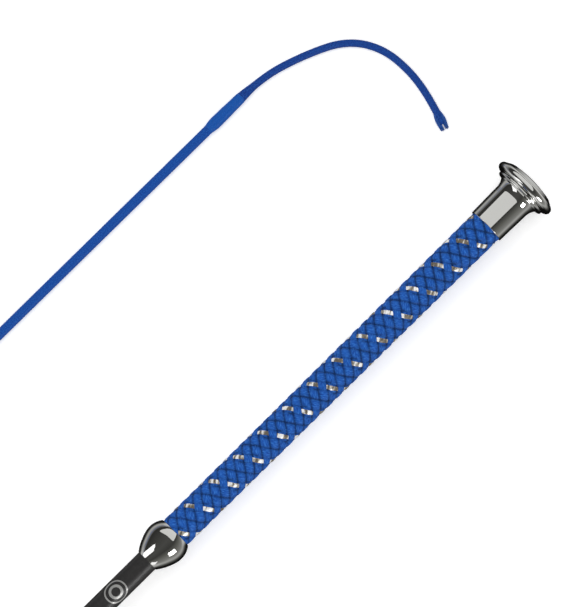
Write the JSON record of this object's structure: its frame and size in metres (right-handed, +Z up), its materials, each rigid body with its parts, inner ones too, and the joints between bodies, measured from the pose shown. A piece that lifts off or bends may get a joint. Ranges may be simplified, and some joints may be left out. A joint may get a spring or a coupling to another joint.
{
  "type": "riding whip",
  "caption": "Dressage riding whip with a blue and silver plaited grip, chrome cap and collar, and a springy braid-covered shaft looped back so that its short lash lies beside the handle.",
  "frame": {"origin": "on the handle's axis, in the label sleeve, 16 mm from the collar's small face, where a rack clip holds the whip", "axes": "+X along the handle towards the mushroom cap; +Z up from the floor that the whip lies on; the tip lies on the +Y side"},
  "size_m": [0.5512, 0.1437, 0.0332],
  "materials": {
    "chrome": "polished",
    "grip_plait": "multifilament yarn, plaited",
    "silver_ribbon": "metallised film ribbon",
    "shaft_braid": "fine waxed braid",
    "whipping_thread": "fine thread, wound close",
    "lash_braid": "fine limp braid",
    "black_sleeve": "satin",
    "silver_print": "silver print",
    "glass_fibre": "pultruded rod",
    "inner_plastic": "moulded",
    "brass": "turned",
    "steel": "threaded"
  },
  "bodies": {
    "handle": {"shaft_rod_00": "glass_fibre", "shaft_braid_00": "shaft_braid", "label_sleeve": "black_sleeve", "collar": "chrome", "collar_bush": "inner_plastic", "grip_tube": "inner_plastic", "grip_plait": "grip_plait", "butt_ferrule": "chrome", "ferrule_bush": "inner_plastic", "stud_insert": "brass", "cap_stud": "steel", "butt_ring": "chrome", "butt_cap": "chrome"},
    "shaft_01": {"shaft_rod_01": "glass_fibre", "shaft_braid_01": "shaft_braid"},
    "shaft_02": {"shaft_rod_02": "glass_fibre", "shaft_braid_02": "shaft_braid"},
    "shaft_03": {"shaft_rod_03": "glass_fibre", "shaft_braid_03": "shaft_braid"},
    "shaft_04": {"shaft_rod_04": "glass_fibre", "shaft_braid_04": "shaft_braid"},
    "shaft_05": {"shaft_rod_05": "glass_fibre", "shaft_braid_05": "shaft_braid"},
    "shaft_06": {"shaft_rod_06": "glass_fibre", "shaft_braid_06": "shaft_braid"},
    "shaft_07": {"shaft_rod_07": "glass_fibre", "shaft_braid_07": "shaft_braid"},
    "shaft_08": {"shaft_rod_08": "glass_fibre", "shaft_braid_08": "shaft_braid", "tip_whipping": "whipping_thread"},
    "lash": {"lash": "lash_braid", "lash_strand_left": "lash_braid", "lash_strand_right": "lash_braid"}
  },
  "joints": [
    {"name": "shaft_flex_01", "type": "hinge", "parent": "handle", "child": "shaft_01", "pos_m": [-0.22787, 0, 0], "axis": [0, 0, 1], "range_deg": [0, 22.5]},
    {"name": "shaft_flex_02", "type": "hinge", "parent": "shaft_01", "child": "shaft_02", "pos_m": [-0.25066, 0.00944, -0.00203], "axis": [0, 0, 1], "range_deg": [0, 22.5]},
    {"name": "shaft_flex_03", "type": "hinge", "parent": "shaft_02", "child": "shaft_03", "pos_m": [-0.2681, 0.02688, -0.00406], "axis": [0, 0, 1], "range_deg": [0, 22.5]},
    {"name": "shaft_flex_04", "type": "hinge", "parent": "shaft_03", "child": "shaft_04", "pos_m": [-0.27754, 0.04967, -0.00609], "axis": [0, 0, 1], "range_deg": [0, 22.5]},
    {"name": "shaft_flex_05", "type": "hinge", "parent": "shaft_04", "child": "shaft_05", "pos_m": [-0.27754, 0.07433, -0.00811], "axis": [0, 0, 1], "range_deg": [0, 22.5]},
    {"name": "shaft_flex_06", "type": "hinge", "parent": "shaft_05", "child": "shaft_06", "pos_m": [-0.2681, 0.09712, -0.01014], "axis": [0, 0, 1], "range_deg": [0, 22.5]},
    {"name": "shaft_flex_07", "type": "hinge", "parent": "shaft_06", "child": "shaft_07", "pos_m": [-0.25066, 0.11456, -0.01217], "axis": [0, 0, 1], "range_deg": [0, 22.5]},
    {"name": "shaft_flex_08", "type": "hinge", "parent": "shaft_07", "child": "shaft_08", "pos_m": [-0.22787, 0.124, -0.0142], "axis": [0, 0, 1], "range_deg": [0, 22.5]},
    {"name": "lash_swing", "type": "hinge", "parent": "shaft_08", "child": "lash", "pos_m": [0.19875, 0.124, -0.01325], "axis": [0, 0, 1], "range_deg": [-55, 55]}
  ]
}
